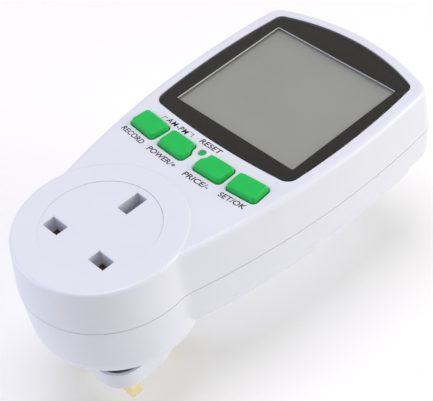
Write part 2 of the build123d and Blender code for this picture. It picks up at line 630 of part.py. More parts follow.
def lcd_panel():
    """Two glass plates, the lower one a ledge longer for its contacts."""
    half = LCD_T / 2
    low = block(-LCD_X / 2, LCD_X / 2, WINDOW_C - LCD_Y / 2, WINDOW_C + LCD_Y / 2, LCD_Z, LCD_Z + half)
    return low + block(-LCD_X / 2, LCD_X / 2, WINDOW_C - LCD_Y / 2 + LCD_LEDGE, WINDOW_C + LCD_Y / 2,
                       LCD_Z + half, LCD_TOP)


def zebra_places():
    """Centre lines of the two contact strips."""
    reach = LCD_Y / 2 - ZEBRA_INSET
    return (WINDOW_C - reach, WINDOW_C + reach)


def zebra_strip(y, extra=0.0):
    """One carbon and silicone contact strip."""
    half_x, half_y = LCD_X / 2 - ZEBRA_INSET + extra, ZEBRA_HALF + extra
    return block(-half_x, half_x, y - half_y, y + half_y, DISPLAY_BOARD_TOP, LCD_Z)


def lcd_frame():
    """Moulded frame that holds the LCD and its contact strips on the board."""
    x, y = LCD_X / 2 + LCD_GAP, LCD_Y / 2 + LCD_GAP
    w = LCD_FRAME_WALL
    frame = block(-x - w, x + w, WINDOW_C - y - w, WINDOW_C + y + w, DISPLAY_BOARD_TOP, LCD_TOP)
    frame -= block(-x, x, WINDOW_C - y, WINDOW_C + y, LCD_Z, LCD_TOP + 1)
    frame -= block(-x + FRAME_SHELF_X, x - FRAME_SHELF_X, WINDOW_C - y + FRAME_SHELF_Y,
                   WINDOW_C + y - FRAME_SHELF_Y, DISPLAY_BOARD_TOP - 1, LCD_Z + 1)
    for strip_y in zebra_places():
        frame -= zebra_strip(strip_y, LCD_GAP)
    return frame


# ---------------------------------------------------------------- keys
def key_cap(x):
    """A rubber key with a rounded top and a plunger below."""
    cap = taper(key_outline(x), PANEL_Z, key_outline(x, -KEY_DRAFT, KEY_DRAFT), KEY_TOP)
    cap = fillet(flat_edges(cap, KEY_TOP), KEY_EDGE)
    cap += rise(key_outline(x), KEY_BASE, PANEL_Z)
    spot = key_place(x).position
    return cap + rod(spot.X, spot.Y, PILL_Z + PILL_T, KEY_BASE, PLUNGER_R)


def key_pill(x):
    """Carbon pill under a key."""
    spot = key_place(x).position
    return rod(spot.X, spot.Y, PILL_Z, PILL_Z + PILL_T, PILL_R)


def web(outline, spread):
    """Thin sprung skirt between the mat and a key; it folds as the key goes down."""
    outer = taper(outline(spread), MAT_TOP, outline(0), KEY_BASE)
    return outer - taper(outline(spread - WEB_T), MAT_TOP, outline(-WEB_T), KEY_BASE)


def reset_key():
    """Small round key, recessed below the panel."""
    stem = rod(0, RESET_Y, KEY_BASE, RESET_TOP, RESET_R)
    stem += rod(0, RESET_Y, KEY_BASE, KEY_BASE + RESET_BASE_T, RESET_BASE_R)
    return stem + rod(0, RESET_Y, PILL_Z + PILL_T, KEY_BASE, RESET_PLUNGER_R)


def keypad_mat():
    """Sheet of silicone rubber with an opening under each key."""
    middle = (MAT_FROM + MAT_TO) / 2
    sheet = rise(rounded_rect(0, middle, 2 * MAT_HALF, MAT_TO - MAT_FROM, 2.0), DISPLAY_BOARD_TOP, MAT_TOP)
    for x in KEY_PLACES:
        sheet -= rise(key_outline(x, WEB_SPREAD - WEB_T), DISPLAY_BOARD_TOP - 1, MAT_TOP + 1)
    opening = RESET_BASE_R - RESET_R + RESET_SPREAD - WEB_T
    return sheet - rise(reset_outline(opening), DISPLAY_BOARD_TOP - 1, MAT_TOP + 1)


# ---------------------------------------------------------------- boards
def display_board():
    """Board behind the LCD and keys, notched round the far screw posts."""
    middle = (DISPLAY_BOARD_FROM + DISPLAY_BOARD_TO) / 2
    window = Pos(0, middle) * Rectangle(FAR, DISPLAY_BOARD_TO - DISPLAY_BOARD_FROM)
    board = rise(case_outline(DISPLAY_BOARD_INSET) & window, DISPLAY_BOARD_Z, DISPLAY_BOARD_TOP)
    for x, y in CASE_SCREW_PLACES:
        board -= rod(x, y, DISPLAY_BOARD_Z - 1, DISPLAY_BOARD_TOP + 1, BOSS_R + POST_GAP)
    for x, y in DISPLAY_SCREW_PLACES:
        board -= rod(x, y, DISPLAY_BOARD_Z - 1, DISPLAY_BOARD_TOP + 1, BOARD_SCREW_R + SCREW_GAP)
    return board


def power_board():
    """Board that measures and feeds the display."""
    board = block(-POWER_BOARD_HALF, POWER_BOARD_HALF, POWER_BOARD_FROM, POWER_BOARD_TO,
                  POWER_BOARD_Z, POWER_BOARD_TOP)
    for x, y in POWER_SCREW_PLACES:
        board -= rod(x, y, POWER_BOARD_Z - 1, POWER_BOARD_TOP + 1, BOARD_SCREW_R + SCREW_GAP)
    return board


def film_capacitor():
    """A block-shaped capacitor with rounded upper edges."""
    top = POWER_BOARD_TOP + FILM_HEIGHT
    solid = block(FILM_X - FILM_WIDTH / 2, FILM_X + FILM_WIDTH / 2, FILM_Y - FILM_DEPTH / 2,
                  FILM_Y + FILM_DEPTH / 2, POWER_BOARD_TOP, top)
    return fillet(flat_edges(solid, top), FILM_EDGE)


def axial(x, y, length, radius):
    """A cylindrical component lying along Y on two bent leads."""
    z = POWER_BOARD_TOP + AXIAL_STAND + radius
    reach = length / 2 + AXIAL_REACH
    along = Pos(x, y, z) * Rot(90, 0, 0)
    solid = along * Cylinder(radius, length) + along * Cylinder(AXIAL_WIRE_R, 2 * reach)
    for side in (-1, 1):
        solid += rod(x, y + side * reach, POWER_BOARD_TOP, z + AXIAL_WIRE_R, AXIAL_WIRE_R)
    return solid


def varistor():
    """A disc standing on two leads."""
    z = POWER_BOARD_TOP + VARISTOR_STAND + VARISTOR_R
    disc = Pos(VARISTOR_X, VARISTOR_Y, z) * Rot(90, 0, 0) * Cylinder(VARISTOR_R, VARISTOR_T)
    disc = fillet(disc.edges().filter_by(GeomType.CIRCLE), VARISTOR_EDGE)
    for side in (-1, 1):
        disc += rod(VARISTOR_X + side * VARISTOR_R / 2, VARISTOR_Y, POWER_BOARD_TOP, z, RADIAL_WIRE_R)
    return disc


def shunt_resistor():
    """Low-value strip bridge that the load current passes through."""
    top = POWER_BOARD_TOP + SHUNT_HEIGHT
    low, high = SHUNT_Y - SHUNT_WIDTH / 2, SHUNT_Y + SHUNT_WIDTH / 2
    bridge = block(SHUNT_X - SHUNT_HALF, SHUNT_X + SHUNT_HALF, low, high, POWER_BOARD_TOP, top)
    inside = SHUNT_HALF - SHUNT_T
    return bridge - block(SHUNT_X - inside, SHUNT_X + inside, low - 1, high + 1,
                          POWER_BOARD_TOP - 1, top - SHUNT_T)


def metering_chip():
    """Body of the metering chip."""
    low = POWER_BOARD_TOP + CHIP_STAND
    return block(CHIP_X - CHIP_HALF_X, CHIP_X + CHIP_HALF_X, CHIP_Y - CHIP_HALF_Y, CHIP_Y + CHIP_HALF_Y,
                 low, low + CHIP_T)


def chip_leads():
    """Two rows of gull-wing leads."""
    rows = []
    for side in (-1, 1):
        near, far = sorted((CHIP_X + side * CHIP_HALF_X, CHIP_X + side * (CHIP_HALF_X + CHIP_LEAD_REACH)))
        for i in range(CHIP_LEADS):
            place = CHIP_Y + (i - (CHIP_LEADS - 1) / 2) * CHIP_PITCH
            rows.append(block(near, far, place - CHIP_LEAD_HALF, place + CHIP_LEAD_HALF,
                              POWER_BOARD_TOP, POWER_BOARD_TOP + CHIP_LEAD_T))
    return rows


def header_pins():
    """Square pins that link the two boards."""
    pins = []
    for i in range(HEADER_PINS):
        x = (i - (HEADER_PINS - 1) / 2) * HEADER_PITCH
        pins.append(block(x - HEADER_PIN_HALF, x + HEADER_PIN_HALF, HEADER_Y - HEADER_PIN_HALF,
                          HEADER_Y + HEADER_PIN_HALF, POWER_BOARD_TOP, DISPLAY_BOARD_Z))
    return pins


def board_header():
    """Moulded body of the link, with a hole for each pin."""
    body = block(-HEADER_HALF_X, HEADER_HALF_X, HEADER_Y - HEADER_HALF_Y, HEADER_Y + HEADER_HALF_Y,
                 POWER_BOARD_TOP, POWER_BOARD_TOP + HEADER_T)
    for pin in header_pins():
        body -= pin
    return body


def battery():
    """Button cells in a row along X, and their sleeve, lying on the power board."""
    outside = CELL_R + WRAP_GAP + WRAP_T
    lie = Rot(0, 90, 0)
    z = POWER_BOARD_TOP + outside
    step = CELL_T + CELL_GAP
    cells = [Pos(CELL_X + (i + 0.5) * step, CELL_Y, z) * lie * Cylinder(CELL_R, CELL_T)
             for i in range(CELL_COUNT)]
    length = CELL_COUNT * step
    middle = Pos(CELL_X + length / 2, CELL_Y, z) * lie
    return cells, middle * Cylinder(outside, length) - middle * Cylinder(outside - WRAP_T, length + 1)


# ---------------------------------------------------------------- fasteners
def screw(x, y, seat, length, radius, head_r, head_t, way=1):
    """A pan-head screw with a cross recess; way is the direction its shank points."""
    shank = rod(x, y, min(seat, seat + way * length), max(seat, seat + way * length), radius)
    low, high = sorted((seat, seat - way * head_t))
    head = rod(x, y, low, high, head_r)
    rim = [e for e in head.edges() if abs(e.center().Z - (seat - way * head_t)) < NEAR]
    head = fillet(rim, head_t * 0.45)
    face = seat - way * head_t
    depth = sorted((face, face + way * head_t * 0.6))
    arm, slot = head_r * 0.62, head_r * 0.13
    head -= block(x - arm, x + arm, y - slot, y + slot, *depth)
    head -= block(x - slot, x + slot, y - arm, y + arm, *depth)
    return head + shank


def make_case():
    """Case halves and plug."""
    keep("front_cover", front_cover())
    keep("back_cover", back_cover())
    keep("plug_base", plug_base())
    for name, x in blade_places():
        keep(name + "_pin", blade(x, 0, BLADE_X, BLADE_Y, BLADE_LENGTH, True))
    keep("earth_pin", blade(0, EARTH_OFFSET, EARTH_X, EARTH_Y, EARTH_LENGTH, False))
    keep("pin_sleeves", *[sleeve(x, 0, BLADE_X, BLADE_Y) for _, x in blade_places()])
    keep("case_screws", *[screw(x, y, CASE_SCREW_SEAT, CASE_SCREW_LENGTH, SCREW_R, SCREW_HEAD_R, SCREW_HEAD_T)
                          for x, y in CASE_SCREW_PLACES])


def make_socket():
    """Socket insert, shutter, clips and their links."""
    keep("socket_faceplate", socket_faceplate())
    keep("shutter", shutter())
    keep("shutter_spring", shutter_spring())
    keep("contact_carrier", contact_carrier())
    for name, x in blade_places():
        keep(name + "_contact", clip(x, 0, BLADE_X, CLIP_GAP, CLIP_BOTTOM, CLIP_TOP, TAIL_Z))
    keep("earth_contact", earth_clip(EARTH_CLIP_BOTTOM, EARTH_CLIP_TOP, TAIL_Z))
    half_w, half_t = STRAP_W / 2, STRAP_T / 2
    keep("neutral_strap", block(-HALF_PITCH - half_w, -HALF_PITCH + half_w, -half_t, half_t,
                                PIN_TOP, TAIL_Z))
    keep("earth_strap", block(-half_t, half_t, EARTH_OFFSET - half_w, EARTH_OFFSET + half_w,
                              PIN_TOP, TAIL_Z))
    pin_lead_z = PIN_TOP - LEAD_R - 0.2
    for name, x, foot in (("live_wire_in", HALF_PITCH, LIVE_FOOT_X),
                          ("neutral_wire", -HALF_PITCH, NEUTRAL_FOOT_X)):
        keep(name, lead((x, BLADE_Y / 2, pin_lead_z), (x, 22, pin_lead_z), (foot, 37, 26),
                        (foot, WIRE_FOOT_Y, 26), (foot, WIRE_FOOT_Y, POWER_BOARD_TOP)))
    out_z = TAIL_Z + LEAD_R
    keep("live_wire_out", lead((HALF_PITCH, CLIP_T / 2, out_z), (HALF_PITCH, 26, out_z), (12, 37, 31),
                               (OUT_FOOT_X, WIRE_FOOT_Y, 31), (OUT_FOOT_X, WIRE_FOOT_Y, POWER_BOARD_TOP)))


def make_display():
    """Window, LCD and the board behind them."""
    keep("display_lens", display_lens())
    keep("display_mask", window_ring(lens_outline(), LENS_SEAT, LENS_SEAT + MASK_T))
    keep("lcd_panel", lcd_panel())
    keep("lcd_frame", lcd_frame())
    keep("zebra_strips", *[zebra_strip(y) for y in zebra_places()])
    keep("display_board", display_board())
    keep("display_controller", block(*CONTROLLER, DISPLAY_BOARD_Z - CONTROLLER_T, DISPLAY_BOARD_Z))
    crystal = Pos(CRYSTAL_X, CRYSTAL_Y, DISPLAY_BOARD_Z - CRYSTAL_R) * Rot(90, 0, 0)
    keep("clock_crystal", crystal * Cylinder(CRYSTAL_R, CRYSTAL_LENGTH))


def make_keys():
    """The keypad mat, its keys, pills and webs."""
    keep("keypad_mat", keypad_mat())
    for name, x in zip(KEY_NAMES, KEY_PLACES):
        keep(name, key_cap(x))
        keep(name.replace("key", "pill"), key_pill(x))
        keep(name.replace("key", "web"), web(lambda extra: key_outline(x, extra), WEB_SPREAD))
    keep("key_reset", reset_key())
    keep("pill_reset", rod(0, RESET_Y, PILL_Z, PILL_Z + PILL_T, RESET_PILL_R))
    keep("web_reset", web(lambda extra: reset_outline(RESET_BASE_R - RESET_R + extra), RESET_SPREAD))


def make_power():
    """The measuring board and what stands on it."""
    keep("power_board", power_board())
    keep("shunt_resistor", shunt_resistor())
    keep("film_capacitor", film_capacitor())
    keep("electrolytic_capacitor", rod(CAN_X, CAN_Y, POWER_BOARD_TOP, POWER_BOARD_TOP + CAN_HEIGHT, CAN_R))
    keep("varistor", varistor())
    keep("rectifier_diodes", *[axial(DIODE_X + DIODE_PITCH * i, DIODE_Y, DIODE_LENGTH, DIODE_R)
                               for i in range(DIODE_COUNT)])
    keep("dropper_resistors", *[axial(x, y, DROPPER_LENGTH, DROPPER_R) for x, y in DROPPER_PLACES])
    keep("metering_chip", metering_chip())
    keep("chip_leads", *chip_leads())
    cells, wrap = battery()
    keep("battery_cells", *cells)
    keep("battery_wrap", wrap)
    keep("board_header", board_header())
    keep("header_pins", *header_pins())


def make_board_screws():
    """Screws of both boards, as one group."""
    sizes = (BOARD_SCREW_LENGTH, BOARD_SCREW_R, BOARD_SCREW_HEAD_R, BOARD_SCREW_HEAD_T)
    screws = [screw(x, y, DISPLAY_BOARD_Z, *sizes, 1) for x, y in DISPLAY_SCREW_PLACES]
    screws += [screw(x, y, POWER_BOARD_TOP, *sizes, -1) for x, y in POWER_SCREW_PLACES]
    keep("board_screws", *screws)


make_case()
make_socket()
make_display()
make_keys()
make_power()
make_board_screws()

os.makedirs("parts", exist_ok=True)
for name, shape in parts.items():
    export_step(shape, "parts/" + name + ".step")
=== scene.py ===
"""Looks of a plug-in power meter: a Blender add-on layout, run as a script.

Metres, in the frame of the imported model: +Z out of the front, +Y towards the
display end, the origin midway between the live and neutral pins.
"""
import json
from math import cos, radians, sin

import bmesh
import bpy
from bpy.props import FloatProperty, FloatVectorProperty, PointerProperty
from mathutils import Matrix, Vector


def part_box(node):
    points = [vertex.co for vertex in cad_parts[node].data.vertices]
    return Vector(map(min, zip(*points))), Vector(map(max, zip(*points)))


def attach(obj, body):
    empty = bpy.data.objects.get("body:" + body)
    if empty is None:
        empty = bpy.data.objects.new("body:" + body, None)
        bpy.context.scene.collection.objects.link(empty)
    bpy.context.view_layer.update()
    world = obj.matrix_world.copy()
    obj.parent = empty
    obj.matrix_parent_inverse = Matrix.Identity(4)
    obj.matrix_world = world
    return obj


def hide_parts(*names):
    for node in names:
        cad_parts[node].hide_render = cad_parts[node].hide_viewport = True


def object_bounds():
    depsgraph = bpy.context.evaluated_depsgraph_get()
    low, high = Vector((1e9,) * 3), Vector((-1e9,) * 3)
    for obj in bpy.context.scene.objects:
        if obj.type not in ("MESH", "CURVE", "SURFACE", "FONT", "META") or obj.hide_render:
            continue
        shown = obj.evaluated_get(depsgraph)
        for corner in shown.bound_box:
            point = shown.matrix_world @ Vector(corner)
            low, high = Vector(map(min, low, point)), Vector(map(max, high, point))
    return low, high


bl_info = {
    "name": "Plug-in power meter",
    "version": (1, 0, 0),
    "blender": (4, 5, 0),
    "location": "3D View > Sidebar > Meter",
    "description": "Finishes the meter's case, socket, display and keys, prints its words, sets the stage",
    "category": "Object",
}

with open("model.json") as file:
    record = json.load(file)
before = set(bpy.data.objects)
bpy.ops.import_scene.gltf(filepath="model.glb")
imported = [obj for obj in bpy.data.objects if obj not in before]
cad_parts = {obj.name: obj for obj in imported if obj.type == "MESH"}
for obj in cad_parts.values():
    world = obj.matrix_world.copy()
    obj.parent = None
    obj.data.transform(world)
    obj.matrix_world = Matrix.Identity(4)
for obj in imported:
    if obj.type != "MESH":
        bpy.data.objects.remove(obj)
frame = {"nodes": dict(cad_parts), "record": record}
CAD_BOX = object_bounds()
MM = 0.001
WINDOW_SUNK = 0.08           # mm, the window's front below the panel
FILM_GAP = 0.05              # mm, between the window and the border printed under it
PANEL_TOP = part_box("display_lens")[1].z + WINDOW_SUNK * MM
NOISE_LOW, NOISE_HIGH = 0.3, 0.7        # where most of a noise's values lie

# printed words: slant and spread of the strokes are shares of the type's size
WORD_SLANT, WORD_SPREAD, WORD_DEPTH = 0.12, 0.016, 0.05
WORD_CURVE_STEPS = 4
WORD_BOW = 270.0             # mm, radius of the gentle arc that the words follow
CLOCK_X, CORNER_Y = -15.5, 56.6
CORNER_ARM, CORNER_LINE = 1.6, 0.22

# soft boxes, in metres
BOX_AWAY, BOX_SIZE = 1.0, 0.6
LOW_BOX_TILT = radians(20)
FLOOR_SIZE, FLOOR_GAP = 6, 0.2 * MM


def linear(code):
    """A hex sRGB colour as linear red, green, blue."""
    parts = [int(code[i:i + 2], 16) / 255 for i in (1, 3, 5)]
    return tuple(p / 12.92 if p <= 0.04045 else ((p + 0.055) / 1.055) ** 2.4 for p in parts)


def shade(colour, factor):
    """The same colour with full alpha, darker or lighter."""
    return tuple(min(1.0, c * factor) for c in colour[:3]) + (1.0,)


# ------------------------------------------------------------------ nodes
def add(tree, kind, inputs=None, **settings):
    """Adds one node, with its settings, and links or sets its inputs by name or number."""
    made = tree.nodes.new("ShaderNode" + kind)
    for name, value in settings.items():
        setattr(made, name, value)
    for name, value in (inputs or {}).items():
        if isinstance(value, bpy.types.NodeSocket):
            tree.links.new(value, made.inputs[name])
        else:
            made.inputs[name].default_value = value
    return made


def begin(name, **sockets):
    """A material with one Principled shader, its constants set on the shader's own sockets."""
    material = bpy.data.materials.new(name)
    material.use_nodes = True
    tree = material.node_tree
    tree.nodes.clear()
    constants = {key.replace("_", " "): value for key, value in sockets.items()}
    shader = add(tree, "BsdfPrincipled", constants)
    add(tree, "OutputMaterial", {"Surface": shader.outputs["BSDF"]})
    place = add(tree, "TexCoord").outputs["Object"]
    return material, tree, shader, place


def mottle(tree, place, size, stretch=(1, 1, 1), detail=3.0):
    """Soft noise with features of one size in metres, stretched along an axis where wanted."""
    scale = tuple(1 / (size * s) for s in stretch)
    scaled = add(tree, "Mapping", {"Vector": place, "Scale": scale}).outputs["Vector"]
    return add(tree, "TexNoise", {"Vector": scaled, "Scale": 1.0, "Detail": detail}).outputs["Fac"]


def between(tree, factor, low, high):
    """A number from low to high over the middle of a noise."""
    levels = {"Value": factor, "From Min": NOISE_LOW, "From Max": NOISE_HIGH, "To Min": low, "To Max": high}
    return add(tree, "MapRange", levels).outputs["Result"]


def tint(tree, factor, low, high):
    """A colour between two, by a factor."""
    ramp = add(tree, "ValToRGB", {"Fac": factor})
    first, last = ramp.color_ramp.elements
    first.position, last.position = NOISE_LOW, NOISE_HIGH
    first.color, last.color = low, high
    return ramp.outputs["Color"]


def finish(tree, shader, colour=None, roughness=None, height=None, depth=0.0):
    """Links a material's colour, roughness and relief; depth is the relief in metres."""
    if colour is not None:
        tree.links.new(colour, shader.inputs["Base Color"])
    if roughness is not None:
        tree.links.new(roughness, shader.inputs["Roughness"])
    if height is not None:
        relief = add(tree, "Bump", {"Height": height, "Distance": depth, "Strength": 1.0})
        tree.links.new(relief.outputs["Normal"], shader.inputs["Normal"])


# ------------------------------------------------------------------ materials
def moulded(name, colour, gloss, grain=0.3, depth=0.004, drift=0.03, ior=1.53, **sockets):
    """Injection-moulded plastic: a fine texture from the eroded mould, in millimetres, which also sets the
    gloss, and a slow drift of shade where the melt flowed."""
    material, tree, shader, place = begin(name, IOR=ior, **sockets)
    flow = mottle(tree, place, 14 * MM, detail=2.0)
    texture = mottle(tree, place, grain * MM)
    finish(tree, shader, tint(tree, flow, shade(colour, 1 - drift), shade(colour, 1 + drift)),
           between(tree, texture, gloss - 0.05, gloss + 0.05), texture, depth * MM)
    return material


def rubber(name, colour, gloss=0.55, grain=0.25):
    """Silicone rubber: a matte bloom, the mould's grain, and a soft edge sheen."""
    material, tree, shader, place = begin(name, IOR=1.43, Sheen_Weight=0.04, Sheen_Roughness=0.5)
    bloom = mottle(tree, place, 3.5 * MM)
    texture = mottle(tree, place, grain * MM)
    finish(tree, shader, tint(tree, bloom, shade(colour, 0.96), shade(colour, 1.04)),
           between(tree, bloom, gloss - 0.06, gloss + 0.06), texture, 0.006 * MM)
    return material


def drawn(name, colour, gloss, lines=0.12, along=(1, 1, 40), tarnish=0.9):
    """Drawn or rolled metal: fine lines along the strip, with a little tarnish."""
    material, tree, shader, place = begin(name, Metallic=1.0)
    line = mottle(tree, place, lines * MM, stretch=along, detail=4.0)
    stain = mottle(tree, place, 4 * MM)
    finish(tree, shader, tint(tree, stain, shade(colour, tarnish), shade(colour, 1.04)),
           between(tree, line, gloss - 0.07, gloss + 0.10), line, 0.004 * MM)
    return material


def plated(name, colour, gloss=0.3):
    """Zinc plate on steel: small crystals in the plate and faint wear."""
    material, tree, shader, place = begin(name, Metallic=1.0)
    crystal = add(tree, "TexVoronoi", {"Vector": place, "Scale": 1 / (0.5 * MM)}).outputs["Distance"]
    wear = mottle(tree, place, 1.5 * MM)
    finish(tree, shader, tint(tree, wear, shade(colour, 0.88), shade(colour, 1.05)),
           between(tree, wear, gloss - 0.08, gloss + 0.12), crystal, 0.003 * MM)
    return material


def window_acrylic(name):
    """Clear moulded acrylic with a hard coat: clean, with the faintest wipe marks. Shadow rays and
    diffuse rays go straight through, slightly dimmed, so that what lies under it is lit evenly."""
    material, tree, shader, place = begin(name, IOR=1.49, Base_Color=(1, 1, 1, 1), Roughness=0.03,
                                          Transmission_Weight=1.0)
    wipe = mottle(tree, place, 2.0 * MM, stretch=(14, 1, 1))
    finish(tree, shader, roughness=between(tree, wipe, 0.0, 0.02))
    clear = add(tree, "BsdfTransparent", {"Color": (0.97, 0.97, 0.97, 1)})
    ray = add(tree, "LightPath")
    straight = add(tree, "Math", {0: ray.outputs["Is Shadow Ray"], 1: ray.outputs["Is Diffuse Ray"]},
                   operation="MAXIMUM")
    mixed = add(tree, "MixShader", {0: straight.outputs["Value"], 1: shader.outputs["BSDF"],
                                    2: clear.outputs["BSDF"]})
    output = next(n for n in tree.nodes if n.type == "OUTPUT_MATERIAL")
    tree.links.new(mixed.outputs["Shader"], output.inputs["Surface"])
    return material


def liquid_crystal(name, colour):
    """LCD glass behind a polariser film: grey-green, a fine brushed film, satin front."""
    material, tree, shader, place = begin(name, IOR=1.5)
    film = mottle(tree, place, 0.35 * MM, stretch=(1, 30, 1))
    cloud = mottle(tree, place, 22 * MM, detail=1.0)
    finish(tree, shader, tint(tree, cloud, shade(colour, 0.97), shade(colour, 1.03)),
           between(tree, film, 0.34, 0.42), film, 0.001 * MM)
    return material


def glass_epoxy(name, mask, copper):
    """Glass-epoxy board: green solder mask over copper tracks, with the cloth's weave showing."""
    material, tree, shader, place = begin(name, IOR=1.55)
    track = add(tree, "TexBrick", {"Vector": place, "Scale": 1 / (9 * MM), "Mortar Size": 0.045,
                                   "Color1": (0, 0, 0, 1), "Color2": (0, 0, 0, 1), "Mortar": (1, 1, 1, 1)})
    weave = add(tree, "TexWave", {"Vector": place, "Scale": 1 / (2.6 * MM), "Distortion": 0.4},
                wave_type="BANDS", bands_direction="DIAGONAL").outputs["Fac"]
    finish(tree, shader, tint(tree, track.outputs["Fac"], shade(mask, 1), shade(copper, 1)),
           between(tree, weave, 0.28, 0.4), track.outputs["Fac"], 0.03 * MM)
    return material


def layered_strip(name, dark, pale):
    """Contact strip: thin carbon and silicone layers in turn, drawn coarse enough to show."""
    material, tree, shader, place = begin(name, IOR=1.43)
    layers = add(tree, "TexWave", {"Vector": place, "Scale": 1 / (4 * MM)},
                 wave_type="BANDS", bands_direction="X").outputs["Fac"]
    grain = mottle(tree, place, 0.3 * MM)
    finish(tree, shader, tint(tree, layers, shade(dark, 1), shade(pale, 1)),
           between(tree, grain, 0.5, 0.65), grain, 0.01 * MM)
    return material


def printed_ink(name, colour):
    """Pad-printed ink: dense black, slightly glossier than the plastic, thin at pinholes."""
    material, tree, shader, place = begin(name, IOR=1.5)
    pinhole = mottle(tree, place, 0.25 * MM)
    finish(tree, shader, tint(tree, pinhole, shade(colour, 1), shade(colour, 1.6)),
           between(tree, pinhole, 0.35, 0.5), pinhole, 0.003 * MM)
    return material


def case_materials(look):
    """One material for each of the record's slots."""
    white = look.case_white
    return {
        # satin ABS from a finely eroded mould: a soft highlight and a cool, faintly lavender white
        "shell": moulded("ABS_satin_white", white, look.case_gloss, grain=0.35, depth=0.005, drift=0.012),
        # thermoset plug block: a touch greyer and flatter than the case
        "plug": moulded("Thermoset_white", shade(white, 0.95), 0.42, grain=0.3, drift=0.02),
        # the insert is the case's plastic from another mould, so its grain is a little finer
        "insert": moulded("ABS_insert_white", shade(white, 0.99), look.case_gloss, grain=0.28, drift=0.012),
        # shutters are dark nylon, self-coloured
        "shutter": moulded("Nylon_dark_maroon", linear("#3A2326"), 0.5, grain=0.3),
        # glass fibre leaves the nylon dull and slightly streaked
        "carrier": moulded("Glass_filled_nylon", linear("#8C8478"), 0.6, grain=0.6, depth=0.01, drift=0.06),
        # satin black frame that doesn't show behind the border
        "frame_plastic": moulded("ABS_black", linear("#26262A"), 0.45),
        # screen print seen through the window: flat black, with no gloss of its own
        "mask": moulded("Screen_print_black", look.border_black, 0.8, grain=0.8, depth=0.0002,
                        Specular_IOR_Level=0.0),
        # soft black sleeve, a little duller than the pins
        "sleeve": moulded("PVC_sleeve_black", linear("#1B1B1D"), 0.5, grain=0.5),
        # filled epoxy packages: fine, dull black
        "chip": moulded("Epoxy_chip_black", linear("#1E1E20"), 0.6, grain=0.15, depth=0.008),
        "diode": moulded("Epoxy_diode_black", linear("#202022"), 0.5, grain=0.2),
        # dipped and shrunk skins: glossy, slightly wavy
        "film_cap": moulded("Film_capacitor_red", linear("#B43A28"), 0.35, grain=0.5),
        "can_sleeve": moulded("Shrink_sleeve_navy", linear("#1C2440"), 0.3, grain=1.2, depth=0.01),
        "varistor": moulded("Dipped_epoxy_blue", linear("#2A5CA8"), 0.3, grain=1.4, depth=0.03),
        # fired cement: chalky and rough
        "resistor": moulded("Cement_resistor", linear("#B9AA8A"), 0.8, grain=0.25, depth=0.02, drift=0.08),
        "wrap": moulded("Shrink_sleeve_green", linear("#3C8F55"), 0.3, grain=1.2, depth=0.01),
        # plain mouldings and extruded insulation: even and satin
        "header": moulded("Header_black", linear("#1D1D1F"), 0.55),
        "wire_brown": moulded("PVC_wire_brown", linear("#6B4226"), 0.4, grain=0.6),
        "wire_blue": moulded("PVC_wire_blue", linear("#2F66B0"), 0.4, grain=0.6),
        # keys and mat are one silicone: matte green, with a faint sheen at the edges
        "key_rubber": rubber("Silicone_green", look.key_green),
        # carbon-filled silicone: dull near-black
        "pill": rubber("Silicone_carbon", linear("#1A1A1A"), 0.7),
        # drawn and rolled brass: fine lines and a little tarnish
        "pin_brass": drawn("Brass_drawn", linear("#FFEDB8"), 0.3),
        "contact": drawn("Brass_rolled", linear("#D2A95C"), 0.3, along=(1, 1, 20), tarnish=0.82),
        "header_metal": drawn("Tin_brass_pin", linear("#D8BE86"), 0.3),
        # resistance alloy: coppery grey, rolled
        "shunt": drawn("Manganin_strip", linear("#B08E70"), 0.35, along=(20, 1, 20)),
        # plated steel and bright wire
        "screw": plated("Zinc_plate", linear("#C4C6C8")),
        "spring": drawn("Spring_wire", linear("#B8B8B8"), 0.25, lines=0.08, along=(1, 1, 1)),
        "can": plated("Nickel_plate", linear("#CFCDC6"), 0.22),
        "lens": window_acrylic("Acrylic_window"),
        "lcd": liquid_crystal("Polariser_grey_green", look.lcd_grey),
        "zebra": layered_strip("Zebra_strip", linear("#202022"), linear("#8E8E90")),
        "board": glass_epoxy("Glass_epoxy_board", linear("#1F6B3A"), linear("#3E9A57")),
    }


def dress(*slots):
    """Gives every CAD node of these slots its finished material."""
    materials = case_materials.ready
    for part in frame["record"]["subparts"]:
        if part["material_slot"] in slots:
            node = frame["nodes"][part["node"]]
            node.data.materials.clear()
            node.data.materials.append(materials[part["material_slot"]])


# ------------------------------------------------------------------ settings
class MeterLook(bpy.types.PropertyGroup):
    """Colours and gloss of what shows."""
    case_white: FloatVectorProperty(name="Case white", description="Moulded case", subtype="COLOR",
                                    default=linear("#E4E6F2"), min=0, max=1)
    case_gloss: FloatProperty(name="Case roughness", description="Roughness of the case", default=0.36,
                              min=0, max=1, subtype="FACTOR")
    key_green: FloatVectorProperty(name="Key green", description="Silicone keys", subtype="COLOR",
                                   default=linear("#10C052"), min=0, max=1)
    border_black: FloatVectorProperty(name="Border", description="Print round the display", subtype="COLOR",
                                      default=linear("#060608"), min=0, max=1)
    lcd_grey: FloatVectorProperty(name="LCD", description="Blank liquid crystal display", subtype="COLOR",
                                  default=linear("#979A93"), min=0, max=1)


class MeterPrint(bpy.types.PropertyGroup):
    """Words printed on the panel."""
    ink: FloatVectorProperty(name="Ink", description="Printed words", subtype="COLOR",
                             default=linear("#161618"), min=0, max=1)
    height: FloatProperty(name="Letter height", description="Height of the capitals", unit="LENGTH",
                          default=2.1 * MM, min=0.5 * MM, max=5 * MM)
    thickness: FloatProperty(name="Ink thickness", description="Thickness of the ink", unit="LENGTH",
                             default=0.02 * MM, min=0.005 * MM, max=0.1 * MM)


